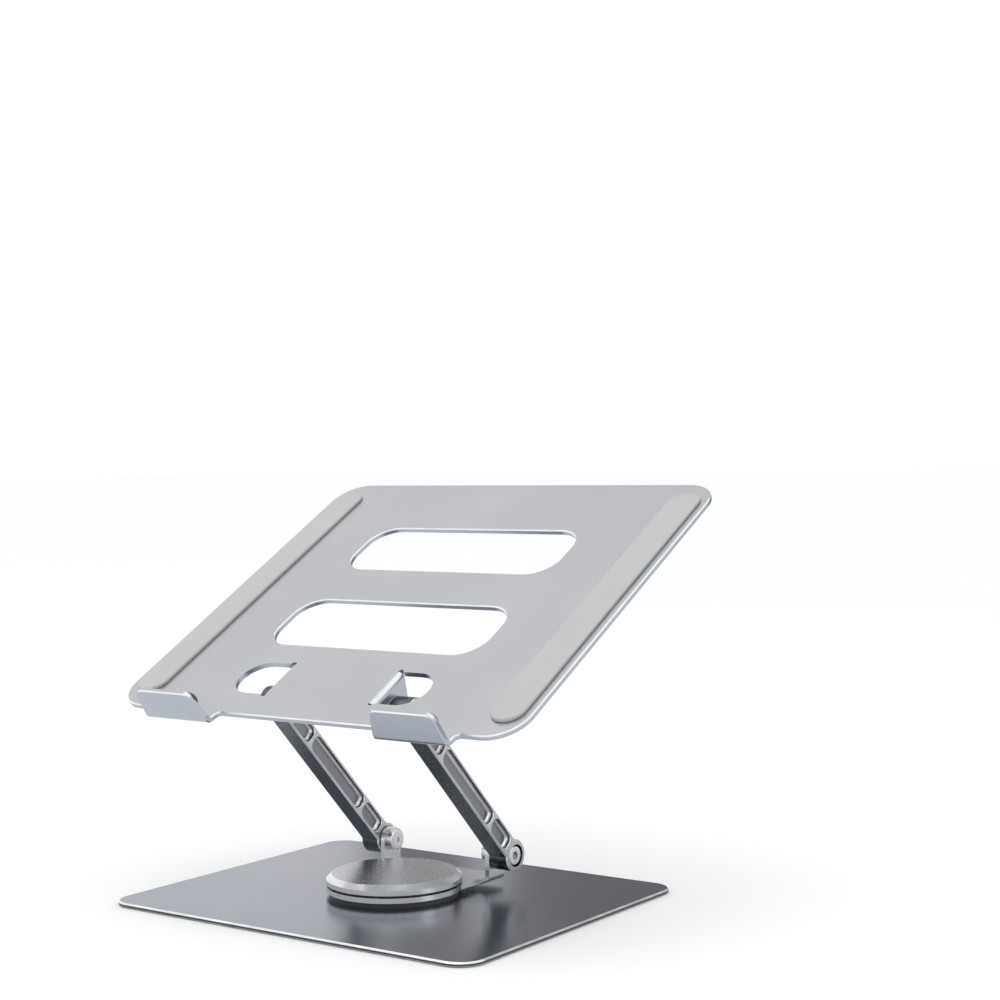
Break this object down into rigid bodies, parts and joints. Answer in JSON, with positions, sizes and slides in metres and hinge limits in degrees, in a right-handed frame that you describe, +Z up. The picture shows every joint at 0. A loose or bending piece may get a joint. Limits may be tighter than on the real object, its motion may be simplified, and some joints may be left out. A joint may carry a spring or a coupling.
{
  "type": "laptop stand",
  "caption": "Swivelling laptop stand: flat base, turntable, paired pocketed arms with a friction hinge at each end, and a tilting slotted tray with front hooks and rubber pads.",
  "frame": {"origin": "centre of the base mat's underside, on the turntable's axis", "axes": "+Z up, +X to the user's right, -Y towards the user and the tray's low front edge"},
  "size_m": [0.25, 0.2076, 0.205],
  "materials": {
    "grey_anodised": "fine bead-blasted grey anodising, satin",
    "light_anodised": "fine bead-blasted silver-grey anodising, satin",
    "dark_anodised": "dark grey anodising with bright cut edges",
    "hinge_steel": "turned steel, satin",
    "zinc_steel": "zinc plated",
    "bush_brass": "turned brass",
    "black_plastic": "matt moulded",
    "low_friction_plastic": "matt white",
    "dark_washer": "matt dark",
    "black_rubber": "matt black",
    "dark_rubber": "matt dark grey",
    "grey_silicone": "soft matt grey"
  },
  "bodies": {
    "base": {"base_plate": "grey_anodised", "base_mat": "black_rubber", "thrust_plate": "black_plastic", "base_screws": "zinc_steel", "pivot_spindle": "zinc_steel", "lower_glide_washer": "low_friction_plastic", "upper_glide_washer": "low_friction_plastic", "disc_spring": "zinc_steel", "spindle_nut": "zinc_steel"},
    "turntable": {"hinge_bracket": "light_anodised", "swivel_bush": "low_friction_plastic", "cap_gasket": "black_plastic", "turntable_cap": "light_anodised", "cap_screws": "zinc_steel", "lower_hinge_bolts": "hinge_steel", "lower_hinge_nuts": "hinge_steel", "lower_friction_washers": "dark_washer", "lower_spring_washers": "zinc_steel"},
    "arms": {"left_arm": "dark_anodised", "right_arm": "dark_anodised", "lower_arm_bushes": "bush_brass", "upper_arm_bushes": "bush_brass"},
    "tray": {"tray_plate": "light_anodised", "left_pad": "grey_silicone", "right_pad": "grey_silicone", "left_hook_liner": "dark_rubber", "right_hook_liner": "dark_rubber", "upper_hinge_bolts": "hinge_steel", "upper_hinge_nuts": "hinge_steel", "upper_friction_washers": "dark_washer", "upper_spring_washers": "zinc_steel"}
  },
  "joints": [
    {"name": "swivel", "type": "hinge", "parent": "base", "child": "turntable", "pos_m": [0, 0, 0], "axis": [0, 0, 1], "continuous": true},
    {"name": "arm_lift", "type": "hinge", "parent": "turntable", "child": "arms", "pos_m": [0, 0.0391, 0.0196], "axis": [-1, 0, 0], "range_deg": [-35, 30]},
    {"name": "tray_tilt", "type": "hinge", "parent": "arms", "child": "tray", "pos_m": [0, -0.0382, 0.1007], "axis": [1, 0, 0], "range_deg": [-50, 25]}
  ]
}
